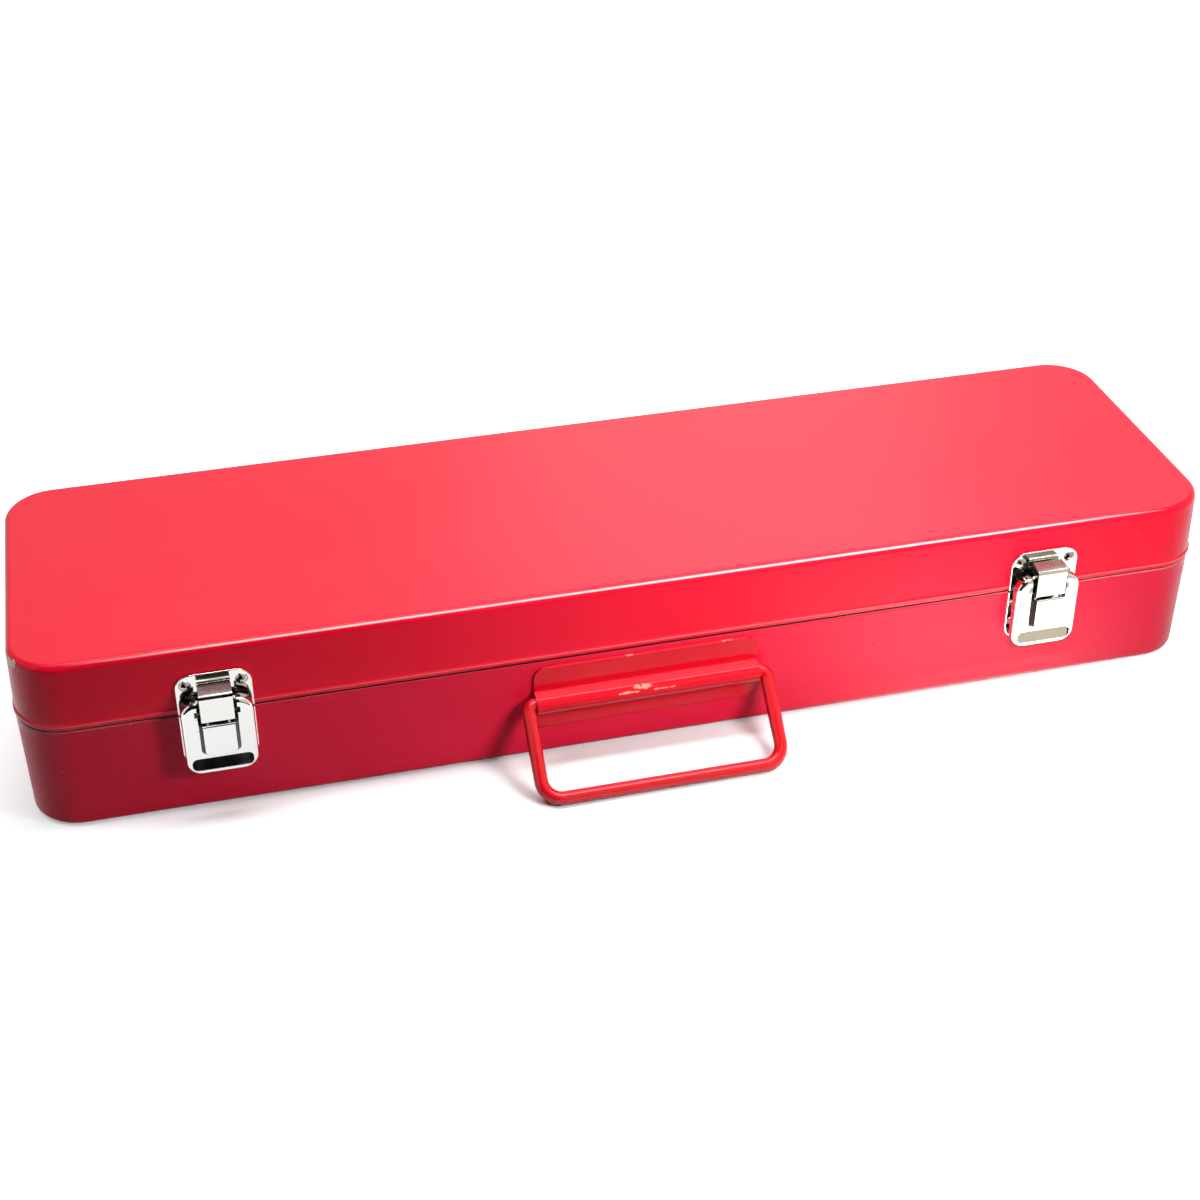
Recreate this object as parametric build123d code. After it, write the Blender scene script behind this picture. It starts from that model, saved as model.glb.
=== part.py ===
from build123d import *
import math
import os

# Long pressed-steel toolbox with a lift-out tray. Millimetres, +X right, +Y back, +Z up.
# The origin is the centre of the case's underside. Latches and handle are on the front, -Y.
# "depth" is measured outward from the front or rear face where the two pans meet.

# ---- Case: two deep-drawn pans that narrow away from the seam ----
case_length = 480.0
case_width = 130.0
case_height = 75.2
seam_height = 46.2
seam_gap = 0.8
sheet = 0.9
corner_radius = 20.0
draft_angle = 1.15
pan_edge_radius = 3.0
rim_edge_radius = 0.6
bead_height = 2.4
bead_proud = 0.5
lip_height = 4.6
lip_clearance = 0.4

# ---- Toggle latches ----
latch_spacing = 333.0
plate_width = 28.4
plate_corner_radius = 6.0
plate_sheet = 1.0
plate_edge_radius = 0.35
catch_plate_height = 17.4
latch_plate_height = 23.1
lever_width = 27.2
lever_height = 33.0
lever_corner_radius = 6.0
lever_sheet = 1.0
lever_rim_depth = 3.9
lever_edge_radius = 1.8
heel_radius = 2.7
pivot_above_seam = 6.1
pivot_depth = 4.8
lever_pin_radius = 1.0
ear_radius = 1.5
ear_sheet = 1.0
ear_spacing = 8.0
cheek_radius = 1.9
cheek_foot_radius = 1.3
slot_width = 15.0
hump_width = 12.0
hump_rise = 2.8
hump_flare = 1.6
hump_length = 12.8
hump_edge_radius = 0.6
hump_corner_radius = 2.4
hump_root = 0.4
hump_top_below_pivot = 6.7
hump_tongue = 0.8
scoop_length = 23.0
scoop_height = 5.6
scoop_corner_radius = 2.2
scoop_dip = 1.9
scoop_foot_dip = 0.25
scoop_above_foot = 2.2
claw_width = 12.4
claw_sheet = 1.0
claw_gap = 0.6
claw_bend_radius = 1.1
hook_front_above_seam = 12.4
hook_rise = 1.3
hook_back_depth = 2.2
hook_tail = 1.3
claw_pin_radius = 0.8
claw_pin_drop = 3.3
claw_pin_lead = 1.8
claw_lug_radius = 1.6
claw_tail = 1.5
keeper_width = 10.8
keeper_depth = 4.3
keeper_seat_gap = 0.25
keeper_rise = 3.6
pin_clearance = 0.05

# ---- Rivets ----
rivet_head_radius = 2.4
rivet_head_height = 1.5
rivet_shank_radius = 1.3
rivet_tail_radius = 1.9
rivet_tail_height = 0.8
rivet_seat_gap = 0.1
catch_rivet_spacing = 21.0
catch_rivet_below_top = 4.5
latch_rivet_spacing = 17.0
latch_rivet_above_bottom = 5.5
low_rivet_head_height = 1.0

# ---- Handle and its saddle ----
wire_radius = 2.75
handle_width = 97.0
handle_reach = 37.5
handle_corner_radius = 8.0
handle_bend_inside = 0.4
handle_tail = 30.0
handle_pivot_height = 28.2
wire_wall_gap = 1.15
saddle_end_gap = 0.05
saddle_above_pivot = 14.8
saddle_below_pivot = 13.4
saddle_corner_radius = 5.0
saddle_sheet = 1.1
saddle_fold_radius = 1.2
wire_clearance = 0.08

# ---- Rear hinges ----
hinge_spacing = 300.0
hinge_length = 60.0
hinge_leaf_below_top = 6.4
hinge_corner_radius = 4.0
hinge_sheet = 1.0
hinge_pin_radius = 1.5
hinge_pin_clearance = 0.08
hinge_pin_overhang = 0.8
hinge_axis_depth = 3.4
hinge_knuckles = 5
knuckle_gap = 0.4
weld_radius = 2.0
weld_dip = 0.25

# ---- Lift-out tray and what carries it ----
tray_clearance = 2.2
tray_height = 18.0
tray_floor_height = 30.0
tray_sheet = 0.8
tray_rim_width = 2.4
tray_rim_height = 1.6
tray_floor_radius = 3.0
ledge_width = 16.0
ledge_drop = 16.0
ledge_sheet = 1.0
divider_offset = 29.0
divider_height = 15.0
divider_foot = 8.0
divider_fold_radius = 1.2
cross_divider_spacing = 160.0
grip_length = 50.0
grip_width = 22.0
grip_below_rim = 3.0
grip_flange = 8.0
grip_slot_length = 28.0
grip_slot_width = 11.0

# ---- Heights and depths that follow from the sizes above ----
shoulder_z = seam_height - seam_gap / 2
lid_rim_z = seam_height + seam_gap / 2
lip_inset = sheet + lip_clearance
pivot_z = seam_height + pivot_above_seam
lever_face_depth = pivot_depth + heel_radius
lever_back_depth = lever_face_depth - lever_rim_depth
lever_top_z = pivot_z + heel_radius
lever_bottom_z = lever_top_z - lever_height
hump_top_z = pivot_z - hump_top_below_pivot
claw_pin_z = pivot_z - claw_pin_drop
claw_pin_depth = pivot_depth + claw_pin_lead
claw_mid_depth = lever_face_depth + claw_gap + claw_sheet / 2
hook_front_z = seam_height + hook_front_above_seam
keeper_share = (claw_mid_depth - keeper_depth - plate_sheet / 2) / (claw_mid_depth - hook_back_depth)
keeper_top_z = hook_front_z + hook_rise * keeper_share - claw_sheet / 2 - keeper_seat_gap
handle_shoulder_radius = wire_radius + handle_bend_inside
handle_pivot_depth = wire_radius + wire_wall_gap
saddle_length = handle_width - 2 * (handle_shoulder_radius + saddle_end_gap)
hinge_neck = hinge_pin_radius + hinge_pin_clearance + hinge_sheet / 2
hinge_leaf_start = hinge_neck + hinge_sheet / 2
hinge_leaf_height = case_height - hinge_leaf_below_top - seam_height - hinge_leaf_start
ledge_length = case_width - 2 * corner_radius
over = 5.0

front_side = Plane(origin=(0, -case_width / 2, 0), x_dir=(0, -1, 0), z_dir=(-1, 0, 0))
rear_side = Plane(origin=(0, case_width / 2, 0), x_dir=(0, 1, 0), z_dir=(1, 0, 0))


def front_face(depth):
    """Plane parallel to the front, `depth` outward: X across, Z up."""
    return Plane(origin=(0, -case_width / 2 - depth, 0), x_dir=(1, 0, 0), z_dir=(0, -1, 0))


def rear_face(depth):
    """Plane parallel to the rear, `depth` outward: -X across, Z up."""
    return Plane(origin=(0, case_width / 2 + depth, 0), x_dir=(-1, 0, 0), z_dir=(0, 1, 0))


def across(side, profile, width, centre=0.0):
    """Profile in depth and height, pressed to a width along X about `centre`."""
    return Pos(centre, 0, 0) * extrude(side * profile, width / 2, both=True)


def pair(shape_at, spacing):
    """The same piece at -spacing/2 and +spacing/2 along X."""
    return Pos(-spacing / 2, 0, 0) * shape_at, Pos(spacing / 2, 0, 0) * shape_at


# ---- Case pans ----

def outline(inset, z):
    """Plan outline of the case at the seam, drawn in by `inset`."""
    plan = RectangleRounded(case_length - 2 * inset, case_width - 2 * inset, corner_radius - inset)
    return Pos(0, 0, z) * plan


def drawn_block(seam_z, far_z, inset=0.0):
    """Solid between the seam and the far side of a pan, with the draft of the press."""
    shrink = abs(far_z - seam_z) * math.tan(math.radians(draft_angle))
    sections = [outline(inset, seam_z).face(), outline(inset + shrink, far_z).face()]
    return loft(sections)


def round_far_edge(block, far_z, radius):
    edges = block.edges().filter_by(lambda edge: abs(edge.center().Z - far_z) < 0.01)
    return fillet(edges, radius)


def base_envelope():
    block = drawn_block(shoulder_z, 0)
    block = round_far_edge(block, 0, pan_edge_radius)
    return round_far_edge(block, shoulder_z, rim_edge_radius)


def base_cavity():
    cavity = drawn_block(shoulder_z - sheet, sheet, sheet)
    return round_far_edge(cavity, sheet, pan_edge_radius - sheet)


def lid_envelope():
    block = round_far_edge(drawn_block(lid_rim_z, case_height), case_height, pan_edge_radius)
    bead = extrude(outline(-bead_proud, lid_rim_z), bead_height)
    rims = bead.edges().filter_by(GeomType.CIRCLE) + bead.edges().filter_by(GeomType.LINE)
    rims = rims.filter_by(lambda edge: edge.bounding_box().size.Z < 0.01)
    return block + fillet(rims, bead_proud * 0.9)


def lid_cavity():
    cavity = drawn_block(lid_rim_z, case_height - sheet, sheet)
    return round_far_edge(cavity, case_height - sheet, pan_edge_radius - sheet)


def base_pan(envelope, cavity, holes):
    lip = extrude(outline(lip_inset, shoulder_z - sheet), lip_height + sheet)
    mouth = extrude(outline(lip_inset + sheet, shoulder_z - sheet), lip_height + sheet)
    return envelope + lip - cavity - mouth - holes


def lid_pan(envelope, cavity, holes):
    return envelope - cavity - holes


# ---- Rivets ----

def rivet(x, z, seat_depth, wall_depth, head_height):
    """Domed rivet through a plate and a wall, upset on the inside of the wall."""
    dome_radius = (rivet_head_radius ** 2 + head_height ** 2) / (2 * head_height)
    dome = Sphere(dome_radius) & Pos(0, 0, dome_radius) * Box(
        2 * rivet_head_radius, 2 * rivet_head_radius, 2 * head_height)
    dome = Pos(0, 0, head_height - dome_radius) * dome
    grip = seat_depth - wall_depth + rivet_seat_gap
    shank = Pos(0, 0, -(grip + rivet_tail_height) / 2) * Cylinder(
        rivet_shank_radius, grip + rivet_tail_height)
    tail = Pos(0, 0, -grip - rivet_tail_height / 2) * Cylinder(rivet_tail_radius, rivet_tail_height)
    return front_face(seat_depth) * Pos(x, z, 0) * (dome + shank + tail)


def rivet_hole(x, z):
    return front_face(0) * Pos(x, z, 0) * Cylinder(rivet_shank_radius, 4 * over)


def wall_inside_depth(z, seam_z):
    """Depth of a drafted wall's inner face at height z."""
    return -abs(z - seam_z) * math.tan(math.radians(draft_angle)) - sheet


def catch_rivet_places():
    z = lid_rim_z + catch_plate_height - catch_rivet_below_top
    return [(-catch_rivet_spacing / 2, z), (catch_rivet_spacing / 2, z)]


def latch_rivet_places():
    z = shoulder_z - latch_plate_height + latch_rivet_above_bottom
    return [(-latch_rivet_spacing / 2, z), (latch_rivet_spacing / 2, z)]


def rivets(places, seam_z, head_height):
    made = [rivet(x, z, plate_sheet, wall_inside_depth(z, seam_z), head_height) for x, z in places]
    return made[0] + made[1]


def rivet_holes(places):
    holes = [rivet_hole(x, z) for x, z in places]
    return holes[0] + holes[1]


# ---- Latches, each made about X = 0 and then moved to its place ----

def plate_shape(width, low_z, high_z, round_top):
    shape = Pos(0, (low_z + high_z) / 2) * Rectangle(width, high_z - low_z)
    corners = shape.vertices().sort_by(Axis.Y)
    picked = corners[2:] if round_top else corners[:2]
    return fillet(picked, plate_corner_radius)


def pressed_plate(shape):
    """Plate standing on the front, its outer edge rounded by the press."""
    plate = extrude(front_face(-over) * shape, over + plate_sheet)
    return fillet(plate.faces().sort_by(Axis.Y)[0].edges(), plate_edge_radius)


def latch_plate(envelope):
    """Lower plate on the base, with two ears that carry the lever's pin."""
    shape = plate_shape(plate_width, shoulder_z - latch_plate_height, shoulder_z, False)
    plate = pressed_plate(shape) - envelope
    inner = pivot_depth - ear_radius
    outer = pivot_depth + ear_radius
    web = Polyline(
        (plate_sheet / 2, pivot_z - 16),
        (plate_sheet / 2, shoulder_z - 0.5),
        (inner, pivot_z - 4),
        (inner, pivot_z),
        (outer, pivot_z),
        (pivot_depth, pivot_z - 2.5),
        (pivot_depth, pivot_z - 8),
        (inner - 1, pivot_z - 13),
        close=True,
    )
    ear = make_face(web) + Pos(pivot_depth, pivot_z) * Circle(ear_radius)
    ear = ear - Pos(pivot_depth, pivot_z) * Circle(lever_pin_radius)
    ears = across(front_side, ear, ear_sheet, -ear_spacing / 2)
    ears = ears + across(front_side, ear, ear_sheet, ear_spacing / 2)
    return plate + ears - rivet_holes(latch_rivet_places())


def catch_plate(envelope):
    """Upper plate on the lid, with the upturned keeper that the claw hooks over."""
    shape = plate_shape(plate_width, lid_rim_z, lid_rim_z + catch_plate_height, True)
    plate = pressed_plate(shape)
    ledge_z = keeper_top_z - keeper_rise
    path = FilletPolyline(
        (0, ledge_z), (keeper_depth, ledge_z), (keeper_depth, keeper_top_z), radius=claw_bend_radius)
    keeper = across(front_side, trace(path, plate_sheet), keeper_width)
    return plate + keeper - envelope - rivet_holes(catch_rivet_places())


def lever_shield(inset):
    """Front outline of the lever, rounded at all four corners."""
    shape = RectangleRounded(
        lever_width - 2 * inset, lever_height - 2 * inset, lever_corner_radius - inset)
    return Pos(0, (lever_top_z + lever_bottom_z) / 2) * shape


def dished_shield(inset, face_depth, edge_radius):
    block = extrude(
        front_face(lever_back_depth) * lever_shield(inset), face_depth - lever_back_depth)
    front_edges = block.faces().sort_by(Axis.Y)[0].edges()
    return fillet(front_edges, edge_radius)


def hump_block(shrink, top_z):
    """Raised middle of the lever, open at its upper end; `shrink` gives its inside."""
    sections = []
    for depth, spread in ((lever_face_depth - hump_root, hump_flare), (lever_face_depth + hump_rise, 0)):
        half = hump_width / 2 + spread - shrink
        low_z = hump_top_z - hump_length - spread + shrink
        shape = Pos(0, (low_z + top_z) / 2) * Rectangle(2 * half, top_z - low_z)
        shape = fillet(shape.vertices().sort_by(Axis.Y)[:2], hump_corner_radius)
        sections.append((front_face(depth - shrink) * shape).face())
    return loft(sections)


def scoop_block(grow):
    """Finger scoop, deepest at its top and running out to the lever's face at its foot."""
    foot_z = lever_bottom_z + scoop_above_foot - grow
    head_z = foot_z + scoop_height + 2 * grow
    face = lever_face_depth - grow
    wedge = make_face(Polyline(
        (face - scoop_dip, head_z), (face + over, head_z), (face + over, foot_z),
        (face - scoop_foot_dip, foot_z), close=True))
    shape = RectangleRounded(scoop_length + 2 * grow, head_z - foot_z, scoop_corner_radius + grow)
    shape = Pos(0, (foot_z + head_z) / 2) * shape
    return across(front_side, wedge, scoop_length + 2 * grow) & extrude(front_face(0) * shape, 4 * over)


def latch_lever():
    """Drawn lever: rim turned back, slot for the claw, hump below it, finger scoop at the foot."""
    shell = dished_shield(0, lever_face_depth, lever_edge_radius)
    hollow = dished_shield(lever_sheet, lever_face_depth - lever_sheet, lever_edge_radius - lever_sheet)
    hump = hump_block(0, hump_top_z + hump_tongue)
    hump = fillet(hump.faces().sort_by(Axis.Y)[0].edges(), hump_edge_radius)
    shell = shell - (hollow - (scoop_block(lever_sheet) & shell)) + hump
    shell = shell - hump_block(lever_sheet, hump_top_z + over) - scoop_block(0)
    slot = Pos(0, hump_top_z + lever_height / 2) * Rectangle(slot_width, lever_height)
    shell = shell - extrude(front_face(0) * slot, lever_face_depth + hump_rise - lever_sheet)
    boss = Pos(pivot_depth, pivot_z) * Circle(cheek_radius)
    foot = Pos(claw_pin_depth, claw_pin_z) * Circle(cheek_foot_radius)
    root = Pos(lever_face_depth - lever_sheet, pivot_z) * Rectangle(lever_sheet, 2 * heel_radius - 1)
    cheek = make_hull(boss.edges() + foot.edges() + root.edges())
    for side in (-1, 1):
        shell = shell + across(front_side, cheek, lever_sheet, side * (slot_width + lever_sheet) / 2)
    pivot_bore = Pos(pivot_depth, pivot_z) * Circle(lever_pin_radius + pin_clearance)
    pin_bore = Pos(claw_pin_depth, claw_pin_z) * Circle(claw_pin_radius)
    bore_length = slot_width + 3 * lever_sheet
    return shell - across(front_side, pivot_bore, bore_length) - across(front_side, pin_bore, bore_length)


def lever_pin():
    place = Pos(pivot_depth, pivot_z)
    return across(front_side, place * Circle(lever_pin_radius), slot_width + 2 * lever_sheet)


def claw_pin():
    place = Pos(claw_pin_depth, claw_pin_z)
    return across(front_side, place * Circle(claw_pin_radius), slot_width + 2 * lever_sheet - 0.2)


def latch_claw():
    """Strip that hangs from its pin in the lever and hooks squarely over the keeper on the lid."""
    back_z = hook_front_z + hook_rise
    path = FilletPolyline(
        (claw_mid_depth, claw_pin_z - claw_tail),
        (claw_mid_depth, hook_front_z),
        (hook_back_depth, back_z),
        (hook_back_depth, back_z - hook_tail - claw_bend_radius / 2),
        radius=claw_bend_radius,
    )
    strip = across(front_side, trace(path, claw_sheet), claw_width)
    lug = Pos(claw_pin_depth, claw_pin_z) * Circle(claw_lug_radius)
    lug_run = claw_mid_depth - claw_pin_depth
    lug = lug + Pos(claw_pin_depth + lug_run / 2, claw_pin_z) * Rectangle(
        lug_run, 2 * claw_lug_radius - 0.2)
    lug = lug - Pos(claw_pin_depth, claw_pin_z) * Circle(claw_pin_radius + pin_clearance)
    lug_x = claw_width / 2 - claw_sheet / 2
    return strip + across(front_side, lug, claw_sheet, -lug_x) + across(front_side, lug, claw_sheet, lug_x)


# ---- Handle ----

def handle_saddle(envelope):
    """Plate on the base front, folded out into a long barrel for the handle wire."""
    plate = Pos(0, handle_pivot_height + (saddle_above_pivot - saddle_below_pivot) / 2)
    plate = plate * RectangleRounded(
        saddle_length, saddle_above_pivot + saddle_below_pivot, saddle_corner_radius)
    plate = extrude(front_face(-over) * plate, over + saddle_sheet)
    bore = wire_radius + wire_clearance
    channel = Pos(0, handle_pivot_height) * Rectangle(saddle_length + over, 2 * bore)
    plate = plate - extrude(front_face(-over) * channel, 2 * over)
    mid = bore + saddle_sheet / 2
    flat = saddle_sheet / 2
    fold = mid + 3 * saddle_fold_radius
    upper = FilletPolyline(
        (flat, handle_pivot_height + fold), (flat, handle_pivot_height + mid),
        (handle_pivot_depth, handle_pivot_height + mid), radius=saddle_fold_radius)
    lower = FilletPolyline(
        (flat, handle_pivot_height - fold), (flat, handle_pivot_height - mid),
        (handle_pivot_depth, handle_pivot_height - mid), radius=saddle_fold_radius)
    nose = CenterArc((handle_pivot_depth, handle_pivot_height), mid, -90, 180)
    barrel = trace(upper, saddle_sheet) + trace(lower, saddle_sheet) + trace(nose, saddle_sheet)
    return plate + across(front_side, barrel, saddle_length) - envelope


def carry_handle():
    """Bent wire: two tails in the saddle, legs out to a bar that lies on the bench."""
    half = handle_width / 2
    bend = handle_shoulder_radius
    tail_end = half - handle_tail
    start = Line((-tail_end, 0), (-half + bend, 0))
    turn_1 = JernArc(start @ 1, start % 1, bend, -90)
    leg_1 = Line(turn_1 @ 1, (-half, handle_reach - handle_corner_radius))
    turn_2 = JernArc(leg_1 @ 1, leg_1 % 1, handle_corner_radius, -90)
    bar = Line(turn_2 @ 1, (half - handle_corner_radius, handle_reach))
    turn_3 = JernArc(bar @ 1, bar % 1, handle_corner_radius, -90)
    leg_2 = Line(turn_3 @ 1, (half, bend))
    turn_4 = JernArc(leg_2 @ 1, leg_2 % 1, bend, -90)
    end = Line(turn_4 @ 1, (tail_end, 0))
    path = Wire([start, turn_1, leg_1, turn_2, bar, turn_3, leg_2, turn_4, end])
    wire = sweep(Plane(origin=path @ 0, z_dir=path % 0) * Circle(wire_radius), path)
    drop = (handle_pivot_height - wire_radius) / handle_reach
    run = math.sqrt(1 - drop * drop)
    lie = Plane(
        origin=(0, -case_width / 2 - handle_pivot_depth, handle_pivot_height),
        x_dir=(1, 0, 0), z_dir=(0, drop, -run))
    return lie * wire


# ---- Rear hinges, each made about X = 0 ----

def knuckle_profile(direction):
    """Leaf end folded out and curled round the pin; direction +1 is the lid, -1 the base."""
    neck_z = seam_height + direction * hinge_neck
    flat = hinge_sheet / 2
    neck = FilletPolyline(
        (flat, neck_z + direction * 3), (flat, neck_z), (hinge_axis_depth, neck_z), radius=0.9)
    curl = CenterArc((hinge_axis_depth, seam_height), hinge_neck, direction * 90, -direction * 330)
    return trace(neck, hinge_sheet) + trace(curl, hinge_sheet)


def hinge_leaf(direction, envelope):
    near_z = seam_height + direction * hinge_leaf_start
    far_z = near_z + direction * hinge_leaf_height
    shape = Pos(0, (near_z + far_z) / 2) * Rectangle(hinge_length, hinge_leaf_height)
    corners = shape.vertices().sort_by(Axis.Y)
    shape = fillet(corners[2:] if direction > 0 else corners[:2], hinge_corner_radius)
    leaf = extrude(rear_face(-over) * shape, over + hinge_sheet)
    pitch = hinge_length / hinge_knuckles
    first = 1 if direction > 0 else 0
    for index in range(first, hinge_knuckles, 2):
        centre = (index + 0.5) * pitch - hinge_length / 2
        leaf = leaf + across(rear_side, knuckle_profile(direction), pitch - knuckle_gap, centre)
    weld_z = (near_z + far_z) / 2
    for x in (-0.35 * hinge_length, 0, 0.35 * hinge_length):
        weld = Pos(x, weld_z) * Circle(weld_radius)
        leaf = leaf - extrude(rear_face(hinge_sheet - weld_dip) * weld, over)
    return leaf - envelope


def hinge_pin():
    place = Pos(hinge_axis_depth, seam_height)
    return across(rear_side, place * Circle(hinge_pin_radius), hinge_length + 2 * hinge_pin_overhang)


# ---- Tray ----

def tray_outline(inset, z):
    return outline(lip_inset + sheet + tray_clearance + inset, z)


def tray_cavity():
    block = extrude(
        tray_outline(tray_rim_width + tray_sheet, tray_floor_height + tray_sheet), tray_height)
    return round_far_edge(block, tray_floor_height + tray_sheet, tray_floor_radius - tray_sheet)


def tray_pan(cavity):
    body = extrude(tray_outline(tray_rim_width, tray_floor_height), tray_height)
    body = round_far_edge(body, tray_floor_height, tray_floor_radius)
    rim = extrude(tray_outline(0, tray_floor_height + tray_height - tray_rim_height), tray_rim_height)
    rim_edges = rim.edges().filter_by(lambda edge: edge.bounding_box().size.Z < 0.01)
    return body + fillet(rim_edges, tray_rim_height * 0.45) - cavity


def tray_divider_long(cavity):
    """Folded strip spot-welded along the tray floor, from end to end."""
    low_z = tray_floor_height + tray_sheet
    side = Plane(origin=(0, 0, 0), x_dir=(0, 1, 0), z_dir=(1, 0, 0))
    mid_z = low_z + tray_sheet / 2
    path = FilletPolyline(
        (divider_offset - divider_foot, mid_z), (divider_offset, mid_z),
        (divider_offset, low_z + divider_height), radius=divider_fold_radius)
    return across(side, trace(path, tray_sheet), case_length) & cavity


def tray_dividers_cross(cavity):
    """Two short folded strips behind the long divider."""
    low_z = tray_floor_height + tray_sheet
    front_y = divider_offset + tray_sheet / 2
    length = case_width / 2 - front_y
    side = Plane(origin=(0, front_y + length / 2, 0), x_dir=(1, 0, 0), z_dir=(0, -1, 0))
    mid_z = low_z + tray_sheet / 2
    path = FilletPolyline(
        (divider_foot, mid_z), (0, mid_z), (0, low_z + divider_height), radius=divider_fold_radius)
    strip = extrude(side * trace(path, tray_sheet), length / 2, both=True)
    strips = pair(strip, cross_divider_spacing)
    return (strips[0] & cavity) + (strips[1] & cavity)


def tray_grip(cavity):
    """Folded tab with a finger slot, welded inside the right end of the tray."""
    wall_x = case_length / 2 - lip_inset - sheet - tray_clearance - tray_rim_width - tray_sheet
    top_z = tray_floor_height + tray_height - grip_below_rim
    tab = Pos(wall_x - grip_width / 2 + over / 2, 0, top_z - tray_sheet / 2) * Box(
        grip_width + over, grip_length, tray_sheet)
    slot = Pos(wall_x - grip_width / 2 - 1, 0, top_z) * extrude(
        SlotOverall(grip_slot_length, grip_slot_width, rotation=90), over, both=True)
    flange = Pos(wall_x + over / 2 - tray_sheet, 0, top_z - grip_flange / 2) * Box(
        over, grip_length, grip_flange)
    return (tab + flange - slot) & cavity


def tray_ledge(cavity):
    """Angle welded to the right end wall; the tray's floor rests on it."""
    end_x = case_length / 2
    wall_x = end_x - sheet - (shoulder_z - tray_floor_height + ledge_drop) * math.tan(
        math.radians(draft_angle))
    shelf = Pos(end_x - ledge_width / 2, 0, tray_floor_height - ledge_sheet / 2) * Box(
        ledge_width, ledge_length, ledge_sheet)
    flange = Pos(wall_x - ledge_sheet + over / 2, 0, tray_floor_height - ledge_drop / 2) * Box(
        over, ledge_length, ledge_drop)
    return (shelf + flange) & cavity


# ---- Everything, by node name ----

def build():
    base_block = base_envelope()
    base_void = base_cavity()
    lid_block = lid_envelope()
    tray_void = tray_cavity()
    latch_holes = pair(rivet_holes(latch_rivet_places()), latch_spacing)
    catch_holes = pair(rivet_holes(catch_rivet_places()), latch_spacing)
    nodes = {
        "base_pan": base_pan(base_block, base_void, latch_holes[0] + latch_holes[1]),
        "lid_pan": lid_pan(lid_block, lid_cavity(), catch_holes[0] + catch_holes[1]),
        "handle_saddle": handle_saddle(base_block),
        "carry_handle": carry_handle(),
        "tray_pan": tray_pan(tray_void),
        "tray_divider_long": tray_divider_long(tray_void),
        "tray_dividers_cross": tray_dividers_cross(tray_void),
    }
    pairs = {
        "latch_plate": pair(latch_plate(base_block), latch_spacing),
        "latch_rivets": pair(
            rivets(latch_rivet_places(), shoulder_z, low_rivet_head_height), latch_spacing),
        "lever_pin": pair(lever_pin(), latch_spacing),
        "latch_lever": pair(latch_lever(), latch_spacing),
        "claw_pin": pair(claw_pin(), latch_spacing),
        "latch_claw": pair(latch_claw(), latch_spacing),
        "catch_plate": pair(catch_plate(lid_block), latch_spacing),
        "catch_rivets": pair(
            rivets(catch_rivet_places(), lid_rim_z, rivet_head_height), latch_spacing),
        "hinge_base_leaf": pair(hinge_leaf(-1, base_block), hinge_spacing),
        "hinge_lid_leaf": pair(hinge_leaf(1, lid_block), hinge_spacing),
        "hinge_pin": pair(hinge_pin(), hinge_spacing),
    }
    grip = tray_grip(tray_void)
    ledge = tray_ledge(base_void)
    pairs["tray_grip"] = (mirror(grip, Plane.YZ), grip)
    pairs["tray_ledge"] = (mirror(ledge, Plane.YZ), ledge)
    for name, (left, right) in pairs.items():
        nodes[name + "_left"] = left
        nodes[name + "_right"] = right
    return nodes


os.makedirs("parts", exist_ok=True)
for name, shape in build().items():
    export_step(shape, f"parts/{name}.step")
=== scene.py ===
import math

import bmesh
import bpy
from mathutils import Matrix, Vector


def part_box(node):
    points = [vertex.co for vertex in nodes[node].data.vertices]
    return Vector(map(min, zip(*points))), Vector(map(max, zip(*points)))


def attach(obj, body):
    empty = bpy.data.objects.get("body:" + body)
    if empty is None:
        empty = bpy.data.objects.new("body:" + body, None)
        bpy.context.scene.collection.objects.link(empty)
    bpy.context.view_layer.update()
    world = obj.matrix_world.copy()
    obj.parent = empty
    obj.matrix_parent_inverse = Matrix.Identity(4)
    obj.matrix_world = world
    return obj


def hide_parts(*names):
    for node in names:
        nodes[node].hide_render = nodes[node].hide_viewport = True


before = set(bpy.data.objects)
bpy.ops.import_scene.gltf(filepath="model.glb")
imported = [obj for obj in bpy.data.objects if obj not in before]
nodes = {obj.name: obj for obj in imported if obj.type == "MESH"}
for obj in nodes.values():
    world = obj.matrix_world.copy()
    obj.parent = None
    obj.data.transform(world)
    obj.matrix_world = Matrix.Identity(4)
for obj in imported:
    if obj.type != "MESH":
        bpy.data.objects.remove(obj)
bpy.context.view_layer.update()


# ---- Base pan ----
# The lower half of the case: one sheet of steel deep-drawn into a tray with slightly sloping
# walls, its edge set in at the top to make the lip that the lid closes over. It is sprayed and
# stoved inside and out.

mm = 0.001
base_low, base_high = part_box("base_pan")
lid_low, lid_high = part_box("lid_pan")
half_length = base_high.x
half_width = base_high.y
corner_radius = 20 * mm
sheet = 0.9 * mm
draft = math.tan(math.radians(1.15))
seam_gap = 0.8 * mm
shoulder_z = lid_low.z - seam_gap
shoulder_dip = 0.5 * mm  # how far the shoulder sags at the middle of the case
shoulder_radius = 0.6 * mm
lip_inset = 1.3 * mm
lip_edge = 0.2 * mm
lip_straight_z = shoulder_z + 1.5 * mm  # the shoulder's sag has died out here
fold_step = 0.1 * mm  # the wall inside starts this far below the lip's fold
pan_edge_radius = 3 * mm


def linear(hex_colour):
    """An sRGB hex colour as the linear RGBA that shaders take."""
    srgb = [int(hex_colour[i:i + 2], 16) / 255 for i in (1, 3, 5)]
    return [c / 12.92 if c <= 0.04045 else ((c + 0.055) / 1.055) ** 2.4 for c in srgb] + [1]


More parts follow.
